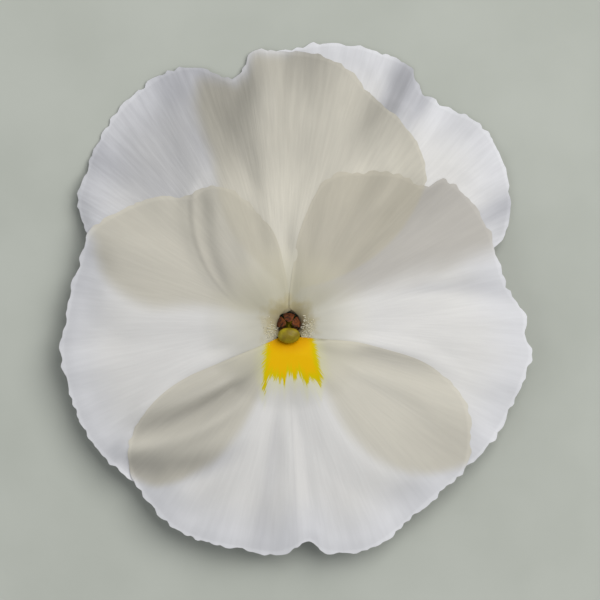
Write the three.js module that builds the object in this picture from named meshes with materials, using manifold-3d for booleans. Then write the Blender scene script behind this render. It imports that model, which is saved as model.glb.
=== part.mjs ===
// A white pansy blossom with a yellow eye, picked with a short stalk and lying face up.
//
// Frame: millimetres, +Z up, z = 0 is the surface that the blossom lies on. The face looks up along
// +Z, +Y is the upright side of the face (the upper petals) and the lower petal points to -Y.
//
// The five petals lie on each other like shingles. One dome, the common bed, carries them all: each
// petal's height is the bed, plus a step for every petal that it covers, plus its own creases and
// ruffle. Behind them the sepals spread from the receptacle, which is the swollen end of the stalk.

import * as THREE from "three";
import { mergeVertices } from "three/addons/utils/BufferGeometryUtils.js";
import Module from "manifold-3d";

const wasm = await Module();
wasm.setup();

// ---------------------------------------------------------------- driving dimensions

const PETAL_THICK = 0.36; // petal sheet
const CLAW_THICK = 0.26; // the same sheet where it narrows into the throat
const PETAL_COLUMNS = 28; // facets along a petal's edge
const PETAL_ROWS = 10; // facets from its claw to its edge
const ROW_POWER = 1.7; // how much closer the rows are at the claw
const RIM_STEPS = 6; // straight pieces between two outline points, for measuring distances

const CLAW_R = 2; // radius at which the common bed starts
const CLAW_Z = 4.7; // its height there, the level of the petal claws
const THROAT_RISE = 3.9; // how far the bed climbs from the claws to its crest
const THROAT_LENGTH = 3; // radial distance over which most of that climb happens
const CREST_R = 6; // the bed falls away outside this radius
const BED_EDGE_R = 38; // radius of the longest petal
const FALL_SIDE = 6.2; // how far the bed has fallen there, at the sides and below
const FALL_TOP = 9.6; // and above, where the upper petals bend back to the surface
const FALL_POWER = 1.6;
const REST_Z = 0.2; // the mid surface of a petal whose rim rests on the surface
const REST_SOFTNESS = 0.35; // how gradually a rim flattens as it meets the surface

const STEP_CLAW = 0.82; // height from one petal to the next at the claws
const STEP_OPEN = 1.1; // and over the open part of the face
const DRAPE_START = 0.8; // a petal keeps its full step this far past the rim of the one below
const DRAPE_END = 6; // and has sunk to the next one down this far past it
const RUFFLE_WIDTH = 9; // the ruffle of a rim reaches this far into the petal
const RUFFLE_SHARE = 0.55; // a rim over another petal ruffles this much less
const SMOOTH_R = 5; // no creases or ruffles inside this radius
const ROUGH_R = 13; // and the full ones outside this

// ---------------------------------------------------------------- petals

// Outlines are seen from above, in millimetres from the flower's axis, anticlockwise or clockwise
// from one side of the claw round the tip to the other. claw holds the two ends of the base line.
// covers lists the petals that a petal lies on, rank how many lie under it at the throat.
// creases are radial folds: [bearing in degrees, half width in degrees, height, start share].
// waves are ruffles of the rim: [waves along the rim, phase in turns, height].

const PETALS = {
  upper_right_petal: {
    rank: 0,
    covers: [],
    claw: [[0.3, 2.2], [1.8, 1.9]],
    outline: [
      [-1.6, 6], [-6.4, 10.6], [-10.4, 16], [-10.4, 21.8], [-12.6, 27], [-11.2, 30.8], [-6.6, 33.8],
      [-2.2, 37.4], [2.6, 39], [7, 39], [12, 38], [16.8, 35.9], [18.2, 32.6], [22.2, 30], [26, 28.2],
      [29, 24.4], [30.7, 18.4], [30.3, 13.4], [29.4, 9.8], [26.4, 7.6], [20.4, 6], [13, 4.3], [6, 3],
    ],
    creases: [
      [52, 5, 0.55, 0.3], [61, 4, -0.5, 0.45], [38, 6, 0.35, 0.4], [24, 5, -0.3, 0.5], [100, 8, 0.3, 0.4],
    ],
    waves: [[5.5, 0.1, 0.5], [9, 0.4, 0.3]],
  },
  upper_left_petal: {
    rank: 1,
    covers: ["upper_right_petal"],
    claw: [[-1.8, 1.9], [-0.3, 2.2]],
    outline: [
      [-3.4, 1.7], [-8, 1.9], [-14, 2.4], [-20, 2.7], [-24.8, 5.4], [-27.3, 11.2], [-29.2, 16.2],
      [-28.5, 19.8], [-27.1, 24.2], [-24, 29.4], [-18.6, 34.2], [-13.6, 35.9], [-9.4, 34.4],
      [-8, 34], [-6.2, 35.6], [-5.3, 38.1], [-1.6, 38], [3.8, 37.4], [8, 35.6], [11.6, 31.6],
      [16.3, 27.4], [18.6, 22.8], [18.8, 19.2], [16, 13.8], [11.8, 9.4], [7, 6.6], [1.6, 5],
    ],
    creases: [
      [101, 6, -0.45, 0.3], [91, 5, 0.4, 0.4], [76, 5, -0.3, 0.4], [62, 6, 0.4, 0.35],
      [120, 8, 0.3, 0.3], [147, 7, 0.35, 0.35], [163, 6, -0.35, 0.4],
    ],
    waves: [[6, 0.3, 0.45], [10.5, 0.7, 0.3]],
  },
  left_lateral_petal: {
    rank: 2,
    covers: ["upper_right_petal", "upper_left_petal"],
    claw: [[-2.1, 1.5], [-2.1, -0.7]],
    outline: [
      [-0.35, 2.8], [-0.35, 4.6], [-0.8, 8], [-1.9, 12.2], [-5.2, 16.3], [-8.6, 18.8], [-11.6, 18.9],
      [-13.2, 17.7], [-15, 17.6], [-18.8, 17.4], [-23.4, 15.6], [-27.4, 12.9], [-28.6, 9.5],
      [-30.1, 4.5], [-30.8, 0.5], [-31.4, -3.6], [-30.2, -9.6], [-28, -15], [-25.4, -18.2],
      [-21.7, -21.3], [-18.5, -22.4], [-14.6, -21.4], [-10.6, -19], [-7, -15], [-4.2, -10],
      [-2.9, -5.4], [-2.4, -2.6],
    ],
    creases: [
      [129, 5, -0.55, 0.35], [119, 5, 0.55, 0.3], [152, 8, 0.35, 0.4], [172, 5, -0.3, 0.6],
      [192, 8, 0.3, 0.4], [214, 5, -0.3, 0.5],
    ],
    waves: [[5, 0, 0.35], [9.5, 0.2, 0.25]],
  },
  right_lateral_petal: {
    rank: 2,
    covers: ["upper_right_petal", "upper_left_petal"],
    claw: [[2.1, 1.5], [2.1, -0.7]],
    outline: [
      [0.35, 2.8], [0.35, 4.6], [0.8, 8.5], [1.4, 12.6], [4, 18.6], [7, 20.8], [11, 20.9],
      [15.2, 20.6], [18.8, 19], [21.4, 20.1], [25, 17.2], [27.8, 12.6], [29, 8.2], [30.4, 4.6],
      [32.6, 1.6], [32.7, -1.4], [33.5, -4], [32.2, -7.9], [30.4, -12], [27.6, -16.6],
      [24.8, -19.2], [21, -21.4], [16, -20.4], [11.4, -17.2], [7.2, -12], [3.8, -6], [2.5, -2.6],
    ],
    creases: [
      [48, 4, -0.5, 0.4], [57, 6, 0.4, 0.35], [33, 7, 0.4, 0.4], [12, 4, -0.45, 0.6],
      [4, 5, 0.35, 0.5], [-14, 6, -0.3, 0.4], [-30, 7, 0.3, 0.5],
    ],
    waves: [[5.5, 0.6, 0.4], [10, 0.1, 0.25]],
  },
  lower_petal: {
    rank: 3,
    covers: ["upper_right_petal", "upper_left_petal", "left_lateral_petal", "right_lateral_petal"],
    claw: [[-1.1, -2.1], [1.1, -2.1]],
    outline: [
      [-3.2, -2.6], [-8.6, -4.9], [-13.7, -7], [-17.8, -9.8], [-21, -13.9], [-22.2, -18],
      [-21.2, -21.8], [-18.8, -25], [-15.9, -28], [-12, -29.8], [-6.8, -30.9], [-2.3, -31.7],
      [0.4, -31], [2.8, -29.8], [4.6, -31.2], [8.4, -31.5], [11.8, -30.6], [15.6, -27.9],
      [19.2, -24.5], [22.9, -21.4], [24.6, -18.9], [25, -14.5], [24.1, -10.4], [21.5, -7.3],
      [18.1, -4.9], [13.2, -3.3], [8.4, -2.2], [3.2, -2.2],
    ],
    creases: [
      [206, 5, 0.4, 0.3], [215, 4, -0.6, 0.3], [224, 4.5, 0.5, 0.35], [235, 5, -0.45, 0.4],
      [256, 4, -0.25, 0.4], [267, 4, 0.3, 0.3], [276, 4, -0.3, 0.3], [286, 6, 0.3, 0.35],
      [330, 7, -0.3, 0.35], [345, 8, 0.3, 0.3],
    ],
    waves: [[4.5, 0.2, 0.35], [9, 0.5, 0.3]],
  },
};

const SPUR = [ // the lower petal's nectar spur, hanging behind its claw: [y, z, radius]
  [-3.1, 8.3, 0.9], [-3.7, 6.6, 1.05], [-4.3, 5, 1], [-4.8, 3.6, 0.9], [-5.1, 2.8, 0.7], [-5.2, 2.4, 0.3],
];
const SPUR_SIDES = 10;

// ---------------------------------------------------------------- stalk, calyx and centre

const STALK = [ // centre line and radius of the stalk and its receptacle, from the cut end: [x, y, z, r]
  [1.6, -23, 0.8, 0.8], [1.2, -19, 0.8, 0.78], [0.7, -14, 0.8, 0.76], [0.2, -9, 0.82, 0.76],
  [0, -5, 0.84, 0.76], [0, -2.4, 0.9, 0.76], [0, -0.9, 1.2, 0.78], [0, -0.1, 1.8, 0.82], [0, 0, 2.6, 0.95],
  [0, 0, 3.2, 1.35], [0, 0, 3.8, 1.6], [0, 0, 5, 1.65], [0, 0, 6.2, 1.6], [0, 0, 6.6, 1.3],
];
const STALK_SIDES = 12;

const SEPALS = { // bearing from the axis, in degrees, and share of the full length
  sepal_top: [90, 1],
  sepal_upper_left: [160, 0.96],
  sepal_upper_right: [20, 0.96],
  sepal_lower_left: [226, 0.9],
  sepal_lower_right: [314, 0.9],
};
const SEPAL_RIB = [ // midrib from the auricle's end to the tip: [distance from axis, z, half width]
  [2.9, 1.5, 0.45], [2.5, 2.4, 0.8], [2.25, 3.4, 0.85], [2.6, 4.3, 0.9], [3.5, 5.1, 1.15],
  [5, 5.9, 1.6], [7, 6.5, 1.75], [9.2, 6.7, 1.45], [11.2, 6.5, 0.85], [13, 6.1, 0.12],
];
const SEPAL_THICK = 0.38;
const SEPAL_CUP = 0.3; // how far a sepal's sides rise above its midrib, per half width

const STAMENS = { // bearing in degrees and share of the full height
  stamen_top: [90, 1],
  stamen_left: [162, 0.96],
  stamen_right: [18, 1.03],
  stamen_lower_left: [234, 0.66],
  stamen_lower_right: [306, 0.66],
};
const STAMEN = [ // filament, anther and appendage: [distance from axis, z, half width, half depth]
  [1.2, 7, 0.16, 0.1], [1.35, 7.35, 0.44, 0.2], [1.4, 8.1, 0.52, 0.24], [1.35, 9, 0.46, 0.2],
  [1.2, 9.7, 0.44, 0.13], [0.95, 10.4, 0.34, 0.1], [0.8, 11, 0.14, 0.06],
];
const PISTIL = [ // ovary, style and the globe of the stigma: [y, z, radius]
  [0, 6.9, 0.3], [0, 7.2, 0.62], [0, 7.9, 0.74], [0, 8.6, 0.6], [0, 9.1, 0.3], [-0.15, 9.6, 0.24],
  [-0.5, 10.1, 0.3], [-0.85, 10.4, 0.62], [-1.2, 10.75, 0.92], [-1.55, 11.15, 0.96], [-1.8, 11.6, 0.7],
  [-1.95, 11.9, 0.3],
];

const BRACTEOLES = { bracteole_left: -1, bracteole_right: 1 }; // side of the stalk
const BRACTEOLE_RIB = [ // [y, distance from the stalk's centre line, z, half height]
  [-12.6, 1.3, 0.9, 0.3], [-11.6, 1.25, 0.95, 0.5], [-10.4, 1.35, 1.05, 0.55], [-9.2, 1.6, 1.15, 0.4],
  [-8.2, 2, 1.2, 0.1],
];
const BRACTEOLE_THICK = 0.24;

const material = (color, roughness) => new THREE.MeshStandardMaterial({ color, roughness, metalness: 0 });
const PETAL_WHITE = material(0xe4e3e0, 0.6);
const CALYX_GREEN = material(0x6f9440, 0.55);
const STALK_GREEN = material(0x86a653, 0.5);
const ANTHER_BROWN = material(0x8a4a1c, 0.6);
const PISTIL_GREEN = material(0x9aa03a, 0.45);

// ---------------------------------------------------------------- small maths

const mix = (a, b, t) => a + (b - a) * t;
const clamp01 = (t) => Math.min(1, Math.max(0, t));
const radians = (degrees) => (degrees * Math.PI) / 180;

function smoothstep(from, to, x) {
  const t = clamp01((x - from) / (to - from));
  return t * t * (3 - 2 * t);
}

// ---------------------------------------------------------------- the petals' common height field

// Adds to a petal the middle of its claw, its reach from there, its rim as a curve, and inside, which
// tells how far in from the rim a point lies (negative outside).
function measure(petal) {
  const [from, to, ...rim] = [...petal.claw, ...petal.outline].map(([x, y]) => new THREE.Vector2(x, y));
  petal.centre = from.clone().lerp(to, 0.5);
  petal.reach = Math.max(...rim.map((p) => p.distanceTo(petal.centre)));
  petal.curve = new THREE.SplineCurve(rim);
  const loop = [from, ...petal.curve.getPoints(petal.outline.length * RIM_STEPS), to];
  petal.inside = (x, y) => {
    let nearest = Infinity;
    let within = false;
    loop.forEach((a, i) => {
      const b = loop[(i + 1) % loop.length];
      const [ex, ey] = [b.x - a.x, b.y - a.y];
      const f = clamp01(((x - a.x) * ex + (y - a.y) * ey) / (ex * ex + ey * ey));
      nearest = Math.min(nearest, Math.hypot(x - a.x - f * ex, y - a.y - f * ey));
      if (a.y > y !== b.y > y && x < a.x + ((y - a.y) / ey) * ex) within = !within;
    });
    return within ? nearest : -nearest;
  };
}

for (const petal of Object.values(PETALS)) measure(petal);

function bed(x, y) {
  const r = Math.hypot(x, y);
  const climb = THROAT_RISE * (1 - Math.exp(-(r - CLAW_R) / THROAT_LENGTH));
  const fall = mix(FALL_SIDE, FALL_TOP, smoothstep(-0.1, 0.75, y / Math.max(r, 1)));
  const out = Math.max(0, r - CREST_R) / (BED_EDGE_R - CREST_R);
  return CLAW_Z + climb - fall * out ** FALL_POWER;
}

// 1 where the petal lies at the point and just past its rim, fading to 0 farther out.
function cover(petal, x, y) {
  return smoothstep(-DRAPE_END, -DRAPE_START, petal.inside(x, y));
}

// The petal's own shape: radial creases and the ruffle that grows towards the rim.
function relief(petal, x, y) {
  const [dx, dy] = [x - petal.centre.x, y - petal.centre.y];
  const bearing = (Math.atan2(dy, dx) * 180) / Math.PI;
  const out = Math.hypot(dx, dy) / petal.reach;
  const atRim = 1 - smoothstep(0, RUFFLE_WIDTH, petal.inside(x, y));
  let height = 0;
  for (const [at, halfWidth, rise, from] of petal.creases) {
    const off = ((((bearing - at) % 360) + 540) % 360) - 180;
    height += rise * Math.exp(-((off / halfWidth) ** 2)) * smoothstep(from, from + 0.45, out);
  }
  for (const [count, phase, rise] of petal.waves) {
    height += rise * Math.sin(2 * Math.PI * ((count * bearing) / 180 + phase)) * atRim;
  }
  return height * smoothstep(SMOOTH_R, ROUGH_R, Math.hypot(x, y));
}

// The two lateral petals do not lie on each other, so together they make one step.
function petalHeight(petal, x, y) {
  const r = Math.hypot(x, y);
  let [uppers, laterals, bumps] = [0, 0, 0];
  for (const name of petal.covers) {
    const amount = cover(PETALS[name], x, y);
    const isUpper = name.startsWith("upper");
    uppers += isUpper ? amount : 0;
    laterals = Math.max(laterals, isUpper ? 0 : amount);
    bumps += amount * relief(PETALS[name], x, y) * (name === "upper_right_petal" ? 1 : 1 - RUFFLE_SHARE);
  }
  const layers = mix(petal.rank, uppers + laterals, smoothstep(5, 12, r));
  const step = mix(STEP_CLAW, STEP_OPEN, smoothstep(2.5, 9, r));
  const own = relief(petal, x, y) * (1 - RUFFLE_SHARE * Math.min(1, uppers + laterals));
  const lowest = (bed(x, y) + bumps + own - REST_Z) / REST_SOFTNESS;
  return REST_Z + REST_SOFTNESS * Math.log1p(Math.exp(lowest)) + step * layers;
}

// ---------------------------------------------------------------- solids from points

function geometryOf(points, triangles) {
  const geometry = new THREE.BufferGeometry();
  geometry.setAttribute("position", new THREE.Float32BufferAttribute(points.flatMap((p) => p.toArray()), 3));
  geometry.setIndex(triangles);
  return geometry;
}

const quad = (a, b, c, d) => [a, b, c, a, c, d];

// A closed sheet of the given thickness about a grid of mid-surface points, rows[i][j]. Its upper
// side is the one from which the first row, read forwards, and the columns, read forwards, turn left.
function sheet(rows, thickness) {
  const [m, n] = [rows.length, rows[0].length];
  const normals = rows.map((row, i) =>
    row.map((_, j) => {
      const across = rows[i][Math.min(n - 1, j + 1)].clone().sub(rows[i][Math.max(0, j - 1)]);
      const outward = rows[Math.min(m - 1, i + 1)][j].clone().sub(rows[Math.max(0, i - 1)][j]);
      return across.cross(outward).normalize();
    }),
  );
  const offset = (p, i, j, sign) => p.clone().addScaledVector(normals[i][j], (sign * thickness(i)) / 2);
  const side = (sign) => rows.flatMap((row, i) => row.map((p, j) => offset(p, i, j, sign)));
  const points = [...side(1), ...side(-1)];
  const top = (i, j) => i * n + j;
  const under = (i, j) => m * n + i * n + j;
  const triangles = [];
  for (let i = 0; i < m - 1; i++) {
    for (let j = 0; j < n - 1; j++) {
      triangles.push(...quad(top(i, j), top(i, j + 1), top(i + 1, j + 1), top(i + 1, j)));
      triangles.push(...quad(under(i, j), under(i + 1, j), under(i + 1, j + 1), under(i, j + 1)));
    }
  }
  for (let j = 0; j < n - 1; j++) {
    triangles.push(...quad(under(0, j), under(0, j + 1), top(0, j + 1), top(0, j)));
    triangles.push(...quad(top(m - 1, j), top(m - 1, j + 1), under(m - 1, j + 1), under(m - 1, j)));
  }
  for (let i = 0; i < m - 1; i++) {
    triangles.push(...quad(top(i, 0), top(i + 1, 0), under(i + 1, 0), under(i, 0)));
    triangles.push(...quad(under(i, n - 1), under(i + 1, n - 1), top(i + 1, n - 1), top(i, n - 1)));
  }
  return geometryOf(points, triangles);
}

// A closed solid through rings of points, each with as many sides, from the first ring to the last.
function loft(rings) {
  const sides = rings[0].length;
  const middle = (ring) => ring.reduce((sum, p) => sum.add(p), new THREE.Vector3()).divideScalar(sides);
  const points = [...rings.flat(), middle(rings[0]), middle(rings[rings.length - 1])];
  const [start, end] = [points.length - 2, points.length - 1];
  const last = (rings.length - 1) * sides;
  const triangles = [];
  for (let j = 0; j < sides; j++) {
    const k = (j + 1) % sides;
    for (let i = 0; i < rings.length - 1; i++) {
      triangles.push(...quad(i * sides + j, i * sides + k, (i + 1) * sides + k, (i + 1) * sides + j));
    }
    triangles.push(start, k, j, end, last + j, last + k);
  }
  return geometryOf(points, triangles);
}

// Elliptic rings square to a centre line. side is the direction of each ring's first half axis.
function ringsAlong(centres, halfAxes, side, sides) {
  return centres.map((centre, i) => {
    const [before, after] = [centres[Math.max(0, i - 1)], centres[Math.min(centres.length - 1, i + 1)]];
    const ahead = after.clone().sub(before).normalize();
    const first = side.clone().addScaledVector(ahead, -side.dot(ahead)).normalize();
    const second = ahead.clone().cross(first);
    return Array.from({ length: sides }, (_, j) => {
      const turn = (2 * Math.PI * j) / sides;
      return centre.clone()
        .addScaledVector(first, halfAxes[i][0] * Math.cos(turn))
        .addScaledVector(second, halfAxes[i][1] * Math.sin(turn));
    });
  });
}

function roundLoft(rows, sides) { // rows are [x, y, z, radius]
  const centres = rows.map(([x, y, z]) => new THREE.Vector3(x, y, z));
  return loft(ringsAlong(centres, rows.map(([, , , r]) => [r, r]), new THREE.Vector3(1, 0, 0), sides));
}

// Joins two closed geometries that overlap.
function union(first, second) {
  const [a, b] = [first, second].map((geometry) => {
    const merged = mergeVertices(geometry, 1e-4);
    return new wasm.Manifold(new wasm.Mesh({
      numProp: 3,
      vertProperties: merged.attributes.position.array,
      triVerts: new Uint32Array(merged.index.array),
    }));
  });
  const mesh = a.add(b).getMesh();
  const joined = new THREE.BufferGeometry();
  joined.setAttribute("position", new THREE.BufferAttribute(mesh.vertProperties.slice(), 3));
  joined.setIndex(new THREE.BufferAttribute(mesh.triVerts.slice(), 1));
  return joined;
}

// ---------------------------------------------------------------- the pieces

function petalGeometry(petal) {
  const [from, to] = petal.claw;
  const share = (i) => (i / PETAL_ROWS) ** ROW_POWER;
  const rows = Array.from({ length: PETAL_ROWS + 1 }, (_, i) =>
    Array.from({ length: PETAL_COLUMNS + 1 }, (_, j) => {
      const rim = petal.curve.getPointAt(j / PETAL_COLUMNS);
      const x = mix(mix(from[0], to[0], j / PETAL_COLUMNS), rim.x, share(i));
      const y = mix(mix(from[1], to[1], j / PETAL_COLUMNS), rim.y, share(i));
      return new THREE.Vector3(x, y, petalHeight(petal, x, y));
    }),
  );
  const clockwise = from[0] * to[1] - from[1] * to[0] < 0;
  const thickness = (i) => mix(CLAW_THICK, PETAL_THICK, smoothstep(0.05, 0.3, share(i)));
  return sheet(clockwise ? rows : rows.map((row) => row.reverse()), thickness);
}

function sepalGeometry([bearing, length]) {
  const out = new THREE.Vector3(Math.cos(radians(bearing)), Math.sin(radians(bearing)), 0);
  const left = new THREE.Vector3(-out.y, out.x, 0);
  const rows = SEPAL_RIB.map(([r, z, half]) => {
    const distance = mix(SEPAL_RIB[2][0], r, r > SEPAL_RIB[3][0] ? length : 1);
    return [1, 0.5, 0, -0.5, -1].map((across) =>
      out.clone().multiplyScalar(distance)
        .addScaledVector(left, across * half)
        .add(new THREE.Vector3(0, 0, z + SEPAL_CUP * half * across ** 2)),
    );
  });
  return sheet(rows, () => SEPAL_THICK);
}

function stamenGeometry([bearing, height]) {
  const base = STAMEN[0][1];
  const out = new THREE.Vector3(Math.cos(radians(bearing)), Math.sin(radians(bearing)), 0);
  const left = new THREE.Vector3(-out.y, out.x, 0);
  const centres = STAMEN.map(([r, z]) => out.clone().multiplyScalar(r).setZ(mix(base, z, height)));
  return loft(ringsAlong(centres, STAMEN.map(([, , wide, deep]) => [wide, deep]), left, 8));
}

// How far the stalk's centre line has strayed to the right at a distance y from the axis.
function stalkX(y) {
  const next = STALK.findIndex((row) => row[1] >= y);
  const [a, b] = [STALK[next - 1], STALK[next]];
  return mix(a[0], b[0], (y - a[1]) / (b[1] - a[1]));
}

function bracteoleGeometry(side) {
  const rows = BRACTEOLE_RIB.map(([y, off, z, half]) =>
    [-1, 0, 1].map((across) => new THREE.Vector3(stalkX(y) + side * off, y, z + across * half * side)),
  );
  return sheet(rows, () => BRACTEOLE_THICK);
}

const group = new THREE.Group();
group.name = "pansy";

function piece(name, geometry, look) {
  const mesh = new THREE.Mesh(geometry, look);
  mesh.name = name;
  group.add(mesh);
}

for (const [name, petal] of Object.entries(PETALS)) {
  const blade = petalGeometry(petal);
  const spur = () => roundLoft(SPUR.map(([y, z, r]) => [0, y, z, r]), SPUR_SIDES);
  piece(name, name === "lower_petal" ? union(blade, spur()) : blade, PETAL_WHITE);
}
for (const [name, shape] of Object.entries(SEPALS)) piece(name, sepalGeometry(shape), CALYX_GREEN);
for (const [name, place] of Object.entries(STAMENS)) piece(name, stamenGeometry(place), ANTHER_BROWN);
for (const [name, side] of Object.entries(BRACTEOLES)) piece(name, bracteoleGeometry(side), CALYX_GREEN);
piece("pistil", roundLoft(PISTIL.map(([y, z, r]) => [0, y, z, r]), 12), PISTIL_GREEN);
piece("stalk", roundLoft(STALK, STALK_SIDES), STALK_GREEN);

// The whole blossom is set down with its lowest points on z = 0 and its box centred on the origin.
const box = new THREE.Box3().setFromObject(group);
const centre = box.getCenter(new THREE.Vector3());
group.position.set(-centre.x, -centre.y, -box.min.z);

export default group;
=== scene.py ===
"""A white pansy blossom lying face up on a pale surface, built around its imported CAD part.

Lengths are millimetres in flower coordinates until mesh() turns them into metres in the CAD frame.
Flower coordinates have the blossom's axis at x = y = 0, +Y towards the upper petals, and the surface at
z = 0. Each petal is a fan of points from its claw to its rim. Its height is a bed that all petals share,
plus a step for each petal beneath it, plus its own creases and ruffles.
"""

import math

import bpy
import numpy as np
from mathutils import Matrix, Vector


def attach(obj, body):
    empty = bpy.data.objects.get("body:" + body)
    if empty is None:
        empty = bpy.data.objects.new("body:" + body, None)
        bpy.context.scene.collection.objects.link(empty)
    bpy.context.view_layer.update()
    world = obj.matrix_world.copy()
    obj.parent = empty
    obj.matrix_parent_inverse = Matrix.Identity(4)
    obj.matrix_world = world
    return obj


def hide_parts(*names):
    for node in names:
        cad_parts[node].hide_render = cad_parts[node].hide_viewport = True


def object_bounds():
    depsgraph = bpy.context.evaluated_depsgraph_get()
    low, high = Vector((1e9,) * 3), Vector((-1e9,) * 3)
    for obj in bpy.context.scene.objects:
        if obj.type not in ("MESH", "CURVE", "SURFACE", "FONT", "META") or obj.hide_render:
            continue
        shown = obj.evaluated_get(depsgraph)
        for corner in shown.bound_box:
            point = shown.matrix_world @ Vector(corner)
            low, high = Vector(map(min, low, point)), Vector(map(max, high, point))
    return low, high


MM = 0.001
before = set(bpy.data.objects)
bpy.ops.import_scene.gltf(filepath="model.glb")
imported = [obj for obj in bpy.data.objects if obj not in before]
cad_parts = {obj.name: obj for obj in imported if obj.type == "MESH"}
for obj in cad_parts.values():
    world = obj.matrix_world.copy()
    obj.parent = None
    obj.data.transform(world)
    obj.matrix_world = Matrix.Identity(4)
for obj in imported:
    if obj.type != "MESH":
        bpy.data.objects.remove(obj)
CAD_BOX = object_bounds()

# ---------------------------------------------------------------- driving dimensions, in millimetres

PETAL_COLUMNS = 300
PETAL_ROWS = 96
PETAL_THICK = 0.24
RIM_THICK = 0.05
RIM_TAPER = 1.6  # the sheet thins to its rim over this distance
SHARP_ANGLE = 55  # degrees; edges sharper than this are not shaded as round

CLAW_R = 1.3  # the petals' claws stand this far from the axis
CLAW_Z = 6.6  # height of the lowest petal's claw
THROAT_RISE = 2.1  # how much the bed climbs out of the throat
THROAT_LENGTH = 0.5  # and over what distance
CREST_R = 6.0  # outside this radius the bed falls away
BED_EDGE_R = 38.0  # radius at which it has fallen by FALL_SIDE, or by FALL_TOP towards the upper petals
FALL_SIDE = 6.2
FALL_TOP = 9.6
FALL_POWER = 1.6
REST_Z = 0.2  # the lowest that a petal lies on the surface
REST_SOFTNESS = 0.35  # how gently it comes to rest there
THROAT_END_R = 5.0  # up to this radius a petal's height is set by its rank
OPEN_R = 12.0  # from this radius it is set by the petals that it covers
STEP_CLAW = 0.55  # height of a petal over the next one, in the throat
STEP_OPEN = 0.75  # and where the petals are open
DRAPE_START = 0.8  # a petal drapes over the rim of another from this far outside it
DRAPE_END = 6.0  # and has sunk to the bed this far outside it
STEP_RIM = 0.14  # height of a petal's rim over the petal that it lies on
SNUG_WIDTH = 5.0  # the step grows from that to the open one over this distance
THROAT_SNUG_WIDTH = 2.5
PRESS_WIDTH = 3.0  # a petal's creases are pressed into the one beneath this far beyond its rim
RUFFLE_WIDTH = 9.0  # the waves of a rim reach this far in
SMOOTH_R = 5.0  # a petal has no creases or waves inside this radius
ROUGH_R = 13.0  # and all of them outside this one

FRILL_HEIGHT = 0.15  # fine ruffle of the last few millimetres of a rim
FRILL_WIDTH = 3.5
FRILL_START_R = 8.0
FRILL_FULL_R = 16.0
COVERED_FADE = 1.5  # the frill ends this far outside the rim of a petal that lies on top
TEETH_DEPTH = 0.55  # unevenness of the rim's outline
TEETH_START_R = 6.0
TEETH_FULL_R = 14.0
ROW_SPACING_POWER = 1.25  # rows of points stand closer together near the claw
FAR_OUTSIDE = -99.0  # distance in from a rim or edge that is nowhere near

SEPAL_THICK = 0.34
BRACTEOLE_THICK = 0.2
SEPAL_STEPS = 6
STALK_STEPS = 9

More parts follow.
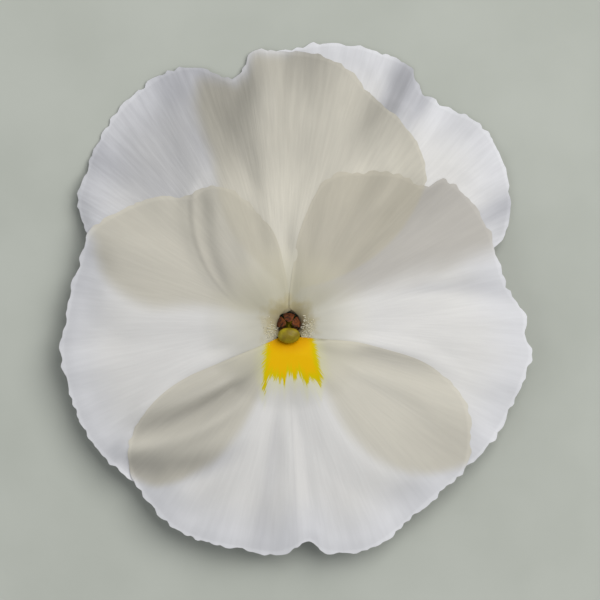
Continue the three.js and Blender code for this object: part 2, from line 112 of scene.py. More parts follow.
# Each petal:
# claw: the two ends of its base line.
# outline: seen from above, from one side of the claw round the tip to the other.
# rank: how many petals lie under it in the throat.
# covers: the petals that it lies on, each with the distance over which that petal's rim shows through.
# creases: bands that are raised or sunk, as bands() reads them, with a height in millimetres.
# shades: bands of painted shade and painted light for its folds and slopes, the same with a change of tone.
# waves: of its rim, as (waves along half a turn, phase in turns, height).
# layered_shade: its colour over one petal and over two, painted shade where other petals lie beneath it.
# streak: the contrast of its fine rays.
PETALS = {
    "upper_right_petal": dict(
        layered_shade=[(0.60, 0.575, 0.505), (0.53, 0.503, 0.425)],
        streak=0.75,
        rank=0,
        covers={},
        claw=[(0.3, 1.7), (1.5, 1.4)],
        outline=[
            (-1.6, 6), (-6.4, 10.6), (-9.4, 16), (-10.4, 21.6), (-12.2, 26.6), (-13.4, 31),
            (-12.6, 34.6),
            (-9.2, 33.9), (-7.7, 33.6), (-6, 35.3), (-5, 37.8), (-1.6, 37.8), (2.6, 38.8), (7, 39.1),
            (12, 38),
            (16.8, 35.9), (18.2, 32.6), (22.2, 30), (26, 28.2),
            (29, 24.4), (30.7, 18.4), (30.3, 14), (29.2, 11.4), (26, 9.4), (20.4, 7.2), (13, 5),
            (6, 3.2),
        ],
        creases=[
            (53, 5, 0.6, 0.5, 1.2), (64, 5, -0.8, 0.6, 1.2), (75, 5, 0.5, 0.6, 1.2),
            (38, 6, 0.35, 0.5, 1.2),
            (24, 5, -0.4, 0.6, 1.2), (100, 8, 0.3, 0.5, 1.2),
        ],
        shades=[
            (65, 3.6, -0.42, 0.7, 1.05), (59, 2, -0.2, 0.75, 1.1), (51, 2, -0.1, 0.85, 1.1),
            (27, 2.8, -0.24, 0.7, 1.1), (71, 4, 0.03, 0.7, 1.1), (54, 4, 0.03, 0.6, 1.1),
            (47, 1.5, -0.04, 0.75, 1.1), (34, 5, 0.02, 0.5, 1.1), (29, 1.5, -0.03, 0.7, 1.1),
            (24, 4, -0.06, 0.8, 1.1),
            (20, 4, -0.14, 0.8, 1.1),
        ],
        waves=[(5.5, 0.1, 0.5), (9, 0.4, 0.3)],
    ),
    "upper_left_petal": dict(
        layered_shade=[(0.588, 0.564, 0.495), (0.53, 0.503, 0.425)],
        streak=0.9,
        rank=1,
        covers={"upper_right_petal": 2.2},
        claw=[(-1.5, 1.4), (-0.3, 1.7)],
        outline=[
            (-3.4, 1.7), (-8, 1.9), (-14, 2.4), (-20, 2.7), (-24.8, 5.4), (-27.3, 11.2), (-29.2, 16.2),
            (-28.5, 19.8), (-27.1, 24.2), (-24, 29.4), (-18.6, 34.2), (-13.6, 35.9), (-9.4, 34.4),
            (-8, 34), (-6.2, 35.6), (-5.3, 38.1), (-1.6, 38), (3.8, 37.4), (8, 35.6), (11.6, 31.6),
            (16.3, 27.4), (18.6, 22.8), (18.8, 19.2), (16, 13.8), (11.8, 9.4), (7, 6.6), (1.6, 5),
        ],
        creases=[
            (105, 5, -0.9, 0.4, 1.2), (94, 5, 0.7, 0.5, 1.2), (84, 5, -0.4, 0.6, 1.2),
            (67, 5, -0.5, 0.55, 1.2),
            (54, 6, 0.6, 0.5, 1.2), (118, 7, 0.5, 0.45, 1.2), (147, 7, 0.35, 0.5, 1.2),
            (158, 5, -0.5, 0.6, 1.2),
            (170, 5, 0.4, 0.6, 1.2),
        ],
        shades=[
            (105, 4.5, -0.3, 0.62, 1.1), (99, 4, -0.16, 0.8, 1.1), (97, 2, 0.08, 0.5, 0.75),
            (84, 7, -0.3, 0.86, 1.1),
            (89, 1.5, -0.06, 0.7, 1.1), (76, 4, 0.02, 0.4, 1.0), (66, 3.5, -0.2, 0.7, 0.95),
            (59, 4, -0.18, 0.82, 1.1),
            (57, 9, 0.22, 0.4, 0.68), (92, 18, 0.2, 0.1, 0.52), (114, 7, -0.28, 0.58, 1.1),
            (125, 5, -0.14, 0.6, 0.95), (134, 6, -0.14, 0.5, 0.85),
            (140, 4, -0.2, 0.82, 1.1), (146, 20, -0.12, 0.55, 1.1), (158, 2.5, -0.16, 0.8, 1.1),
            (168, 2.5, -0.14, 0.8, 1.1),
        ],
        waves=[(6, 0.3, 0.45), (10.5, 0.7, 0.3)],
    ),
    "left_lateral_petal": dict(
        layered_shade=[(0.63, 0.604, 0.53), (0.551, 0.523, 0.442)],
        streak=0.5,
        rank=2,
        covers={"upper_right_petal": 1.0, "upper_left_petal": 2.2},
        claw=[(-1.3, 1.3), (-1.3, -0.7)],
        outline=[
            (-0.06, 2.4), (-0.1, 4.4), (-0.6, 7.6), (-1.9, 12.2), (-5.2, 16.3), (-8.6, 18.8),
            (-11.6, 18.9),
            (-13.2, 17.7), (-15, 17.6), (-18.8, 17.4), (-23.4, 15.6), (-27.4, 12.9), (-28.6, 9.5),
            (-30.1, 4.5), (-30.8, 0.5), (-31.4, -3.6), (-30.2, -9.6), (-28, -15), (-25.4, -18.2),
            (-21.7, -21.3), (-18.5, -22.4), (-14.6, -21.4), (-10.6, -19), (-7, -15), (-4.2, -10),
            (-2.9, -5.4), (-2.3, -2.6),
        ],
        creases=[
            (107, 5, 0.5, 0.3, 0.8, 60), (97, 6, -0.5, 0.3, 0.8, 70), (152, 8, 0.3, 0.5, 1.2),
            (166, 5, -0.3, 0.7, 1.2),
            (184, 4, -0.3, 0.8, 1.2), (192, 8, 0.2, 0.5, 1.2), (216, 5, -0.4, 0.6, 1.2),
        ],
        shades=[
            (105.5, 1.6, -0.22, 0.3, 0.85, 64), (100, 4.5, -0.15, 0.25, 0.8, 64),
            (138, 20, -0.12, 0, 0.32),
            (152, 7, 0.02, 0.4, 1.0), (160, 4, -0.1, 0.85, 1.1), (169, 4, -0.14, 0.85, 1.1),
            (177, 3, -0.08, 0.88, 1.1),
            (192, 8, 0.02, 0.3, 0.9), (184, 3, -0.14, 0.9, 1.1), (206, 4, -0.03, 0.7, 1.1),
            (217, 3, -0.06, 0.75, 1.05),
            (223, 3, -0.05, 0.6, 1.0),
        ],
        waves=[(5, 0, 0.35), (9.5, 0.2, 0.25)],
    ),
    "right_lateral_petal": dict(
        layered_shade=[(0.522, 0.502, 0.468), (0.535, 0.504, 0.424)],
        streak=0.5,
        rank=2,
        covers={"upper_right_petal": 3.5, "upper_left_petal": 0.5},
        claw=[(1.3, 1.3), (1.3, -0.7)],
        outline=[
            (0.06, 2.4), (0.12, 4.6), (0.6, 8.2), (1.4, 12.6), (4, 18.6), (7, 20.8), (11, 20.9),
            (15.2, 20.6), (18.8, 19), (21.4, 20.1), (25, 17.2), (27.8, 12.6), (29, 8.2), (30.4, 4.6),
            (32.6, 1.6), (32.7, -1.4), (33.5, -4), (32.2, -7.9), (30.4, -12), (27.6, -16.6),
            (24.8, -19.2), (20.6, -20.6), (15.6, -20.2), (10.8, -17.6), (6.6, -12.4), (3.6, -6),
            (2.4, -2.6),
        ],
        creases=[
            (48, 4, -0.4, 0.5, 1.2), (57, 6, 0.4, 0.5, 1.2), (33, 7, 0.3, 0.5, 1.2),
            (7, 4, -0.4, 0.5, 1.2, 18),
            (4, 5, 0.25, 0.6, 1.2), (-14, 6, -0.2, 0.5, 1.2), (-30, 7, 0.2, 0.6, 1.2),
        ],
        shades=[
            (70, 5, 0.02, 0.35, 0.9), (58, 4, -0.03, 0.3, 0.9), (46, 4, -0.12, 0.3, 0.9),
            (39.5, 2, -0.05, 0.65, 1.0),
            (30, 5, 0.02, 0.4, 1.0), (7, 3, -0.13, 0.45, 1.05, 18), (2, 6, 0.02, 0.2, 1.0),
            (-12, 2, -0.02, 0.5, 1.0), (-26, 5, 0.02, 0.3, 1.0), (-40, 3, -0.08, 0.8, 1.05),
        ],
        waves=[(5.5, 0.6, 0.4), (10, 0.1, 0.25)],
    ),
    "lower_petal": dict(
        layered_shade=[(0.668, 0.642, 0.566), (0.583, 0.553, 0.468)],
        streak=0.45,
        rank=3,
        covers={
            "upper_right_petal": 1,
            "upper_left_petal": 1,
            "left_lateral_petal": 1.2,
            "right_lateral_petal": 1.5,
        },
        claw=[(-1.2, -1.6), (1.2, -1.6)],
        outline=[
            (-3.2, -2.6), (-8.6, -4.9), (-13.7, -7), (-17.8, -9.8), (-21, -13.9), (-22.2, -18),
            (-21.2, -21.8), (-18.8, -25), (-15.9, -28), (-12, -29.8), (-6.8, -30.9), (-2.3, -31.7),
            (0.4, -31), (2.8, -29.8), (4.6, -31.2), (8.4, -31.5), (11.8, -30.6), (15.6, -27.9),
            (19.2, -24.5), (22.9, -21.4), (24.6, -18.9), (25, -14.5), (24.1, -10.4), (21.5, -7.3),
            (18.1, -4.9), (13.2, -3.3), (8.4, -2.2), (3.2, -2.2),
        ],
        creases=[
            (198, 6, 0.6, 0.3, 1.0, 26), (206, 4, -0.7, 0.3, 1.0, 25), (210, 4, 0.5, 0.4, 1.0, 38),
            (214, 6, -0.7, 0.6, 1.1, 67), (252, 6, 0.3, 0.4, 1.2), (264, 3, -0.3, 0.4, 1.2),
            (271, 3, 0.3, 0.4, 1.2),
            (277, 3, -0.25, 0.4, 1.2), (286, 6, 0.2, 0.5, 1.2), (330, 7, -0.3, 0.5, 1.2),
            (345, 8, 0.3, 0.4, 1.1),
        ],
        shades=[
            (206, 2.5, -0.17, 0.3, 0.9, 25), (209, 3, 0.07, 0.4, 0.85, 38),
            (214, 6, -0.26, 0.6, 1.0, 67),
            (214, 16, -0.14, 0.05, 0.75, 14),
            (252, 5, 0.02, 0.3, 1.0), (262, 3.5, -0.12, 0.35, 1.0), (269, 1.5, 0.03, 0.3, 1.0),
            (272, 0.8, -0.07, 0.3, 1.0),
            (279, 3, 0.02, 0.3, 1.0), (287, 2, -0.03, 0.5, 1.0), (297, 5, 0.02, 0.3, 1.0),
            (316, 5, 0.03, 0.3, 0.7),
            (325, 8, -0.13, 0.7, 1.1), (358, 7, -0.13, 0.1, 0.7, -20), (313, 6, 0.12, 0.9, 1.1),
        ],
        waves=[(4.5, 0.2, 0.35), (9, 0.5, 0.3)],
    ),
}

# ---------------------------------------------------------------- small maths


def mix(a, b, t):
    return a + (b - a) * t


def smoothstep(start, end, x):
    t = np.clip((x - start) / (end - start), 0, 1)
    return t * t * (3 - 2 * t)


def spline(points, steps):
    """A smooth line through the points, with that many samples between each two."""
    p = np.asarray(points, float)
    p = np.vstack([p[0], p, p[-1]])
    t = np.linspace(0, 1, steps, endpoint=False)[:, None]
    spans = []
    for a, b, c, d in zip(p[:-3], p[1:-2], p[2:-1], p[3:]):
        spans.append(b + 0.5 * t * (c - a + t * (2 * a - 5 * b + 4 * c - d + t * (3 * (b - c) + d - a))))
    return np.vstack([*spans, p[-1:]])


def evenly(line, count):
    """That many points along a line, equally far apart, and its length."""
    length = np.concatenate([[0], np.cumsum(np.linalg.norm(np.diff(line, axis=0), axis=1))])
    at = np.linspace(0, length[-1], count)
    return np.column_stack([np.interp(at, length, line[:, k]) for k in range(line.shape[1])]), length[-1]


def wobble(x, seed, spacing):
    """Smooth noise from -1 to 1 along x, with hills about that far apart."""
    knots = np.random.default_rng(seed).uniform(-1, 1, 512)
    at = np.asarray(x) / spacing + 100
    low = np.floor(at).astype(int)
    f = at - low
    return mix(knots[low % 512], knots[(low + 1) % 512], f * f * (3 - 2 * f))


# ---------------------------------------------------------------- the petals' common height field


def measure(petal):
    claw = np.array(petal["claw"], float)
    petal["centre"] = claw.mean(axis=0)
    petal["reach"] = max(math.dist(p, petal["centre"]) for p in petal["outline"])
    petal["line"] = spline(petal["outline"], 12)
    petal["loop"] = np.vstack([claw[:1], petal["line"][::3], claw[1:]])


def inside(petal, x, y):
    """How far in from the petal's rim each point lies, negative outside."""
    nearest = np.full(x.shape, np.inf)
    within = np.zeros(x.shape, bool)
    loop = petal["loop"]
    for (ax, ay), (bx, by) in zip(loop, np.roll(loop, -1, axis=0)):
        ex, ey = bx - ax, by - ay
        f = np.clip(((x - ax) * ex + (y - ay) * ey) / (ex * ex + ey * ey), 0, 1)
        nearest = np.minimum(nearest, (x - ax - f * ex) ** 2 + (y - ay - f * ey) ** 2)
        if ay != by:
            within ^= ((ay > y) != (by > y)) & (x < ax + (y - ay) / ey * ex)
    return np.where(within, 1, -1) * np.sqrt(nearest)


def bed(x, y):
    r = np.hypot(x, y)
    climb = THROAT_RISE * (1 - np.exp(-(r - CLAW_R) / THROAT_LENGTH))
    fall = mix(FALL_SIDE, FALL_TOP, smoothstep(-0.1, 0.75, y / np.maximum(r, 1)))
    out = np.maximum(0, r - CREST_R) / (BED_EDGE_R - CREST_R)
    return CLAW_Z + climb - fall * out**FALL_POWER


def bands(petal, x, y, rows):
    """Sum of radial bands: each row is a bearing, half width, amount, share of reach where it starts and
    where it ends, and, where the band bends, how far it has turned at the claw."""
    dx, dy = x - petal["centre"][0], y - petal["centre"][1]
    bearing = np.degrees(np.arctan2(dy, dx))
    out = np.hypot(dx, dy) / petal["reach"]
    total = np.zeros(x.shape)
    for at, half_width, amount, start, end, *bend in rows:
        middle = at + (bend[0] if bend else 0) * (1 - out)
        off = (bearing - middle + 540) % 360 - 180
        length = smoothstep(start - 0.15, start + 0.15, out) * (1 - smoothstep(end - 0.12, end + 0.12, out))
        total += amount * np.exp(-((off / half_width) ** 2)) * length
    return total


def relief(petal, x, y, depth):
    """The petal's own creases and ruffle, where it lies depth in from its rim."""
    dx, dy = x - petal["centre"][0], y - petal["centre"][1]
    turns = np.arctan2(dy, dx) / np.pi
    ruffle = sum(
        rise * np.sin(2 * np.pi * (count * turns + phase)) for count, phase, rise in petal["waves"]
    )
    height = bands(petal, x, y, petal["creases"]) + ruffle * (1 - smoothstep(0, RUFFLE_WIDTH, depth))
    return height * smoothstep(SMOOTH_R, ROUGH_R, np.hypot(x, y))


def lie(last, x, y):
    """Height of the petal at each point, how many petals lie beneath, how far in from its own rim, and how
    far in from the rim of a petal that covers it. All petals follow one ground, which takes the creases of
    the petal that is on top, so that stacked petals keep their distance."""
    r = np.hypot(x, y)
    depth = {name: inside(petal, x, y) for name, petal in PETALS.items()}
    creases = np.zeros(x.shape)
    for name, petal in PETALS.items():
        creases = mix(creases, relief(petal, x, y, depth[name]), smoothstep(-PRESS_WIDTH, 0, depth[name]))
    ground = bed(x, y) + creases
    ground = REST_Z + REST_SOFTNESS * np.log1p(np.exp((ground - REST_Z) / REST_SOFTNESS))
    height = {}
    for name, petal in PETALS.items():
        over = [depth[other] for other, its in PETALS.items() if name in its["covers"]]
        covered = np.max([np.full(x.shape, FAR_OUTSIDE), *over], axis=0)
        free = ground
        step = mix(STEP_RIM, STEP_OPEN, smoothstep(0, SNUG_WIDTH, depth[name]))
        for under in petal["covers"]:
            amount = smoothstep(-DRAPE_END, -DRAPE_START, depth[under])
            free = mix(free, height[under] + step, amount)
        rim = 1 - smoothstep(0, THROAT_SNUG_WIDTH, depth[name])
        rim = rim * (1 - smoothstep(-PRESS_WIDTH, 0, covered))
        drop = (STEP_CLAW - STEP_RIM) * rim
        throat = bed(x, y) + STEP_CLAW * petal["rank"] - drop * min(petal["rank"], 1)
        height[name] = mix(throat, free, smoothstep(THROAT_END_R, OPEN_R, r))
        if petal is last:
            break
    beneath = np.zeros(x.shape)
    for under, blur in last["covers"].items():
        blur = np.minimum(blur, 0.25 * r)
        beneath += smoothstep(-blur, blur, depth[under])
    return height[name], beneath, depth[name], covered


for petal in PETALS.values():
    measure(petal)

# The axis of the blossom in the CAD frame: the CAD box and the petals' outlines have the same centre.
RIMS = np.vstack([petal["line"] for petal in PETALS.values()])
RIMS_MIDDLE = (RIMS.min(axis=0) + RIMS.max(axis=0)) / 2
BOX_MIDDLE = (np.array(CAD_BOX[0]) + np.array(CAD_BOX[1])) / 2 / MM
AXIS = np.array([BOX_MIDDLE[0] - RIMS_MIDDLE[0], BOX_MIDDLE[1] - RIMS_MIDDLE[1], CAD_BOX[0][2] / MM])

# ---------------------------------------------------------------- meshes


def mesh(name, points, faces, values=None):
    """An object from flower coordinates, with values as named numbers on its points."""
    data = bpy.data.meshes.new(name)
    data.from_pydata(((np.asarray(points) + AXIS) * MM).tolist(), [], faces)
    data.validate()
    data.polygons.foreach_set("use_smooth", [True] * len(data.polygons))
    data.set_sharp_from_angle(angle=math.radians(SHARP_ANGLE))
    for key, numbers in (values or {}).items():
        layer = data.attributes.new(key, "FLOAT", "POINT")
        layer.data.foreach_set("value", np.asarray(numbers, np.float32).ravel())
    data.update()
    piece = bpy.data.objects.new(name, data)
    bpy.context.scene.collection.objects.link(piece)
    return piece


def sheet(rows, thickness, normal=None):
    """A closed sheet about a grid of points [row, column, xyz], and its faces. The upper side is the one
    from which columns, read forwards, and then rows turn left. Thickness is measured along normal, or
    square to the grid where none is given."""
    m, n, _ = rows.shape
    if normal is None:
        normal = np.cross(np.gradient(rows, axis=1), np.gradient(rows, axis=0))
        normal /= np.linalg.norm(normal, axis=2, keepdims=True)
    half = normal * np.broadcast_to(thickness, (m, n))[:, :, None] / 2
    points = np.concatenate([(rows + half).reshape(-1, 3), (rows - half).reshape(-1, 3)])
    index = np.arange(m * n).reshape(m, n)
    a, b, c, d = (index[:-1, :-1], index[:-1, 1:], index[1:, 1:], index[1:, :-1])
    top = np.stack([a, b, c, d], -1).reshape(-1, 4)
    under = top[:, ::-1] + m * n
    border = np.concatenate([index[0, :], index[1:, -1], index[-1, -2::-1], index[-2:0:-1, 0]])
    after = np.roll(border, -1)
    wall = np.stack([border + m * n, after + m * n, after, border], -1)
    return points, np.concatenate([top, under, wall]).tolist()


def loft(rings):
    """A closed solid through rings of points [ring, side, xyz]."""
    m, n, _ = rings.shape
    points = np.concatenate([rings.reshape(-1, 3), rings[:1].mean(axis=1), rings[-1:].mean(axis=1)])
    index = np.arange(m * n).reshape(m, n)
    after = np.roll(index, -1, axis=1)
    side = np.stack([index[:-1], after[:-1], after[1:], index[1:]], -1).reshape(-1, 4).tolist()
    start = [[m * n, after[0, j], index[0, j]] for j in range(n)]
    end = [[m * n + 1, index[-1, j], after[-1, j]] for j in range(n)]
    return points, side + [[int(v) for v in face] for face in start + end]


def rings_along(centres, half_axes, side, sides, ridge=None):
    """Elliptic rings square to a line of centres. side is the direction of each ring's first half axis,
    and ridge, where given, scales the radius at each angle."""
    centres = np.asarray(centres, float)
    half_axes = np.asarray(half_axes, float)
    ahead = np.gradient(centres, axis=0)
    ahead /= np.linalg.norm(ahead, axis=1, keepdims=True)
    first = np.asarray(side, float) - ahead * (ahead @ np.asarray(side, float))[:, None]
    first /= np.linalg.norm(first, axis=1, keepdims=True)
    second = np.cross(ahead, first)
    turn = np.linspace(0, 2 * np.pi, sides, endpoint=False)
    scale = np.ones(sides) if ridge is None else ridge(turn)
    x = half_axes[:, :1] * np.cos(turn) * scale
    y = half_axes[:, 1:] * np.sin(turn) * scale
    return centres[:, None] + first[:, None] * x[:, :, None] + second[:, None] * y[:, :, None]


# ---------------------------------------------------------------- materials


class Shader:
    """A material whose nodes are made by short calls."""

    def __init__(self, name):
        self.material = bpy.data.materials.new(name)
        self.material.use_nodes = True
        self.tree = self.material.node_tree
        self.tree.nodes.clear()
        self.output = self.tree.nodes.new("ShaderNodeOutputMaterial")

    def node(self, kind, inputs=None, **settings):
        made = self.tree.nodes.new("ShaderNode" + kind)
        for key, value in settings.items():
            setattr(made, key, value)
        for key, value in (inputs or {}).items():
            socket = made.inputs[key]
            if isinstance(value, bpy.types.NodeSocket):
                self.tree.links.new(value, socket)
            else:
                socket.default_value = value
        return made

    def value(self, name):
        return self.node("Attribute", attribute_name=name).outputs["Fac"]

    def math(self, operation, a, b=0.0, clamp=False):
        return self.node("Math", {0: a, 1: b}, operation=operation, use_clamp=clamp).outputs[0]

    def span(self, value, low, high, to_low=0.0, to_high=1.0):
        """value from low to high becomes to_low to to_high, smoothly."""
        inputs = {"Value": value, "From Min": low, "From Max": high, "To Min": to_low, "To Max": to_high}
        return self.node("MapRange", inputs, interpolation_type="SMOOTHSTEP").outputs[0]

    def blend(self, amount, a, b):
        """Colour a where amount is 0 and b where it is 1."""
        made = self.node("Mix", {"Factor": amount}, data_type="RGBA")
        for socket, value in ((made.inputs[6], a), (made.inputs[7], b)):
            if isinstance(value, bpy.types.NodeSocket):
                self.tree.links.new(value, socket)
            else:
                socket.default_value = (*value, 1)
        return made.outputs[2]

    def tint(self, colour, amount):
        """The colour made lighter or darker by the factor amount."""
        rgb = self.node("CombineColor", {0: amount, 1: amount, 2: amount}).outputs[0]
        made = self.node("Mix", {"Factor": 1.0}, data_type="RGBA", blend_type="MULTIPLY")
        self.tree.links.new(colour, made.inputs[6])
        self.tree.links.new(rgb, made.inputs[7])
        return made.outputs[2]

    def noise(self, vector, scale, detail=2.0, rough=0.5):
        inputs = {"Scale": scale, "Detail": detail, "Roughness": rough}
        if vector is not None:
            inputs["Vector"] = vector
        return self.node("TexNoise", inputs).outputs["Fac"]

    def place(self):
        return self.node("TexCoord").outputs["Object"]

    def bump(self, height, strength, distance, normal=None):
        inputs = {"Height": height, "Strength": strength, "Distance": distance}
        if normal is not None:
            inputs["Normal"] = normal
        return self.node("Bump", inputs).outputs[0]

    def surface(self, colour, roughness, normal=None, see_through=0.0, **constants):
        inputs = {"Base Color": colour, "Roughness": roughness}
        if normal is not None:
            inputs["Normal"] = normal
        inputs.update({key.replace("_", " "): value for key, value in constants.items()})
        shader = self.node("BsdfPrincipled", inputs).outputs[0]
        if see_through:
            inputs = {"Color": colour}
            if normal is not None:
                inputs["Normal"] = normal
            back = self.node("BsdfTranslucent", inputs).outputs[0]
            shader = self.node("MixShader", {0: see_through, 1: shader, 2: back}).outputs[0]
        self.tree.links.new(shader, self.output.inputs[0])
        return self.material


WHITE = (0.77, 0.762, 0.75)
COOL_RIM = (0.73, 0.735, 0.77)
SHADED_WHITE = (0.69, 0.70, 0.77)
THROAT_CREAM = (0.66, 0.63, 0.46)
THROAT_SPECKLE = (0.50, 0.41, 0.16)
EYE_OUTER = (0.66, 0.58, 0.0)
EYE_INNER = (0.83, 0.50, 0.0)
EYE_THROAT = (0.74, 0.36, 0.0)
EYE_FRINGE = (0.75, 0.74, 0.36)


def petal_material(name, seed, layered_shade, streak):
    """White petal tissue. layered_shade is its colour over one petal and over two, painted shade where
    other petals lie beneath it, and streak the contrast of its fine rays."""
    s = Shader(name)
    across, along = s.value("across"), s.value("along")
    rim, beneath, eye, away = s.value("rim"), s.value("beneath"), s.value("eye"), s.value("away")
    band = s.value("shade")

    def streaks(per_mm, along_scale, detail):
        stretched = s.node("CombineXYZ", {
            0: s.math("MULTIPLY", across, per_mm),
            1: s.math("MULTIPLY", along, along_scale),
            2: float(seed),
        }).outputs[0]
        return s.noise(stretched, 1.0, detail)

    broad, fine = streaks(0.22, 0.9, 2), streaks(1.5, 1.9, 3)
    layers = s.math("ADD", beneath, s.span(broad, 0.3, 0.7, -0.1, 0.1))
    colour = s.blend(s.span(rim, 8.0, 0.6, 0, 0.8), WHITE, COOL_RIM)
    # painted shade: where the shades bands are dark, the colour is tinted bluish grey
    colour = s.blend(s.span(band, 0.0, -0.3, 0, 0.4), colour, SHADED_WHITE)
    # painted shade: darker and warmer where one or two other petals lie beneath
    colour = s.blend(s.span(layers, 0.1, 1.0), colour, layered_shade[0])
    colour = s.blend(s.span(layers, 1.1, 2.0), colour, layered_shade[1])
    colour = s.blend(s.span(away, 13.0, 3.0, 0, 0.6), colour, THROAT_CREAM)
    mottle = s.math("ADD", away, s.span(s.noise(s.place(), 900, 3), 0.3, 0.7, -0.5, 0.5))
    colour = s.blend(s.span(mottle, 4.8, 2.0, 0, 0.6), colour, THROAT_SPECKLE)
    rays = s.span(fine, 0.3, 0.75, -0.05 * streak, 0.04 * streak)
    rays = s.math("MULTIPLY", rays, s.span(away, 4.0, 16.0))
    tone = s.math("ADD", s.span(broad, 0.3, 0.7, 1 - 0.03 * streak, 1 + 0.03 * streak), rays)
    # painted highlight: lighter within half a millimetre of the rim
    tone = s.math("ADD", tone, s.span(rim, 0.5, 0.1, 0, 0.07))
    # painted shade: darker towards the throat, inside 10 mm from the axis
    tone = s.math("ADD", tone, s.span(away, 10.0, 3.5, 0, -0.15))
    # painted shade and painted light: the shades bands darken or lighten the tone
    colour = s.tint(colour, s.math("ADD", tone, band))
    ragged = s.math("ADD", eye, s.span(fine, 0.3, 0.7, -0.35, 0.35))
    yellow = s.blend(s.span(ragged, 0.0, 1.1), EYE_OUTER, EYE_INNER)
    yellow = s.blend(s.span(away, 4.4, 2.8, 0, 0.7), yellow, EYE_THROAT)
    colour = s.blend(s.span(ragged, -1.8, 0.2, 0, 0.35), colour, EYE_FRINGE)
    colour = s.blend(s.span(ragged, -0.12, 0.18), colour, yellow)
    skin = s.noise(s.place(), 5200, 2)
    normal = s.bump(skin, 0.12, 0.00004)
    normal = s.bump(fine, s.span(away, 4.0, 18.0, 0.0, 0.5 * streak), 0.00009, normal)
    normal = s.bump(broad, s.span(away, 4.0, 18.0, 0.0, 0.3), 0.0002, normal)
    return s.surface(
        colour, s.span(skin, 0.3, 0.7, 0.52, 0.66), normal, see_through=0.25,
        Specular_IOR_Level=0.12, IOR=1.4,
    )


def plain_material(name, dark, light, scale, roughness, bumpiness, see_through=0.0):
    s = Shader(name)
    grain = s.noise(s.place(), scale, 3)
    fine = s.noise(s.place(), scale * 4, 2)
    colour = s.blend(s.span(grain, 0.3, 0.7), dark, light)
    normal = s.bump(fine, 0.4, bumpiness)
    return s.surface(
        colour, s.span(fine, 0.3, 0.7, roughness - 0.06, roughness + 0.06), normal, see_through=see_through,
        Specular_IOR_Level=0.35,
    )


# ---------------------------------------------------------------- the pieces


def keep(piece, node, material):
    piece.data.materials.append(material)
    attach(piece, "root")
    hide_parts(node)
    return piece


# The ragged lower edge of the yellow eye, and how its left and right sides run: [y, x of the side].
EYE_EDGE = [
    (-4.6, -5), (-3.7, -8.6), (-3.3, -9.2), (-2.9, -7.4), (-2.3, -7.1), (-1.9, -7.7), (-1.5, -7.2),
    (-1.2, -8.2),
    (-0.9, -7.1), (-0.6, -8.7), (-0.3, -7.0), (0.3, -6.8), (0.8, -7.8), (1.3, -6.8), (1.9, -7.5),
    (2.5, -8.4),
    (2.9, -7.4), (3.6, -7.7), (4.4, -8.8), (4.8, -7.2), (5.4, -5),
]
EYE_LEFT = [(-9, -3.6), (-5, -3.55), (-2.4, -3.3), (-1, -2.9)]
EYE_RIGHT = [(-9, 4.9), (-5, 4.2), (-2.4, 3.6), (-1, 3.2)]


def eye_depth(x, y):
    """How far inside the eye each point lies, negative outside."""
    floor = np.interp(x, *zip(*EYE_EDGE))
    left = x - np.interp(y, *zip(*EYE_LEFT))
    right = np.interp(y, *zip(*EYE_RIGHT)) - x
    return np.minimum(np.minimum(left, right), 0.6 * (y - floor))


def build_petal(name, seed):
    petal = PETALS[name]
    rim, length = evenly(petal["line"], PETAL_COLUMNS + 1)
    claw = np.array(petal["claw"], float)
    u = np.linspace(0, 1, PETAL_COLUMNS + 1)
    base = mix(claw[0], claw[1], u[:, None])
    out = np.gradient(rim, axis=0)
    out = np.column_stack([out[:, 1], -out[:, 0]]) / np.linalg.norm(out, axis=1, keepdims=True)
    if np.mean(np.sum(out * (rim - petal["centre"]), axis=1)) < 0:
        out = -out
    ray = (rim - petal["centre"]) / np.linalg.norm(rim - petal["centre"], axis=1, keepdims=True)
    far = smoothstep(TEETH_START_R, TEETH_FULL_R, np.hypot(*rim.T))
    far = far * smoothstep(0.25, 0.7, np.sum(ray * out, axis=1))
    teeth = 0.6 * np.abs(wobble(u * length, seed, 1.7)) + 0.4 * wobble(u * length, seed + 50, 0.8)
    rim = rim + out * (TEETH_DEPTH * teeth * far)[:, None]
    v = (np.linspace(0, 1, PETAL_ROWS + 1) ** ROW_SPACING_POWER)[:, None, None]
    flat = mix(base[None], rim[None], v)
    x, y = flat[..., 0], flat[..., 1]
    z, beneath, depth, covered = lie(petal, x, y)
    ray = np.broadcast_to(u[None] * length, x.shape)
    frill = 1 + 0.6 * wobble(ray, seed + 7, 2.6) + 0.4 * wobble(ray, seed + 9, 1.3)
    frill = frill * (1 - smoothstep(0, FRILL_WIDTH, depth))
    frill = frill * smoothstep(FRILL_START_R, FRILL_FULL_R, np.hypot(x, y))
    free = (1 - smoothstep(-COVERED_FADE, 0, covered)) * (1 - 0.85 * np.minimum(beneath, 1))
    z = z + FRILL_HEIGHT * frill * free
    z = np.maximum(z, 0.5 * PETAL_THICK)
    grid = np.dstack([x, y, z])
    turn = claw[0][0] * claw[1][1] - claw[0][1] * claw[1][0]
    thick = mix(RIM_THICK, PETAL_THICK, smoothstep(0, RIM_TAPER, depth))
    eye = eye_depth(x, y) if name == "lower_petal" else np.full(x.shape, FAR_OUTSIDE)
    values = {
        "across": ray,
        "along": np.broadcast_to(v[..., 0], x.shape) * petal["reach"] / 12,
        "rim": depth,
        "beneath": beneath,
        "eye": eye,
        "away": np.hypot(x, y),
        "shade": bands(petal, x, y, petal["shades"]),
    }
    if turn > 0:
        grid = grid[:, ::-1]
        thick = thick[:, ::-1]
        values = {key: numbers[:, ::-1] for key, numbers in values.items()}
    points, faces = sheet(grid, thick, np.array([0, 0, 1.0]))
    values = {key: np.tile(numbers.ravel(), 2) for key, numbers in values.items()}
    look = petal_material(name, seed, petal["layered_shade"], petal["streak"])
    keep(mesh(name + "_look", points, faces, values), name, look)


for number, name in enumerate(PETALS):
    build_petal(name, 11 + 20 * number)

# ---------------------------------------------------------------- spur, stalk, calyx and centre

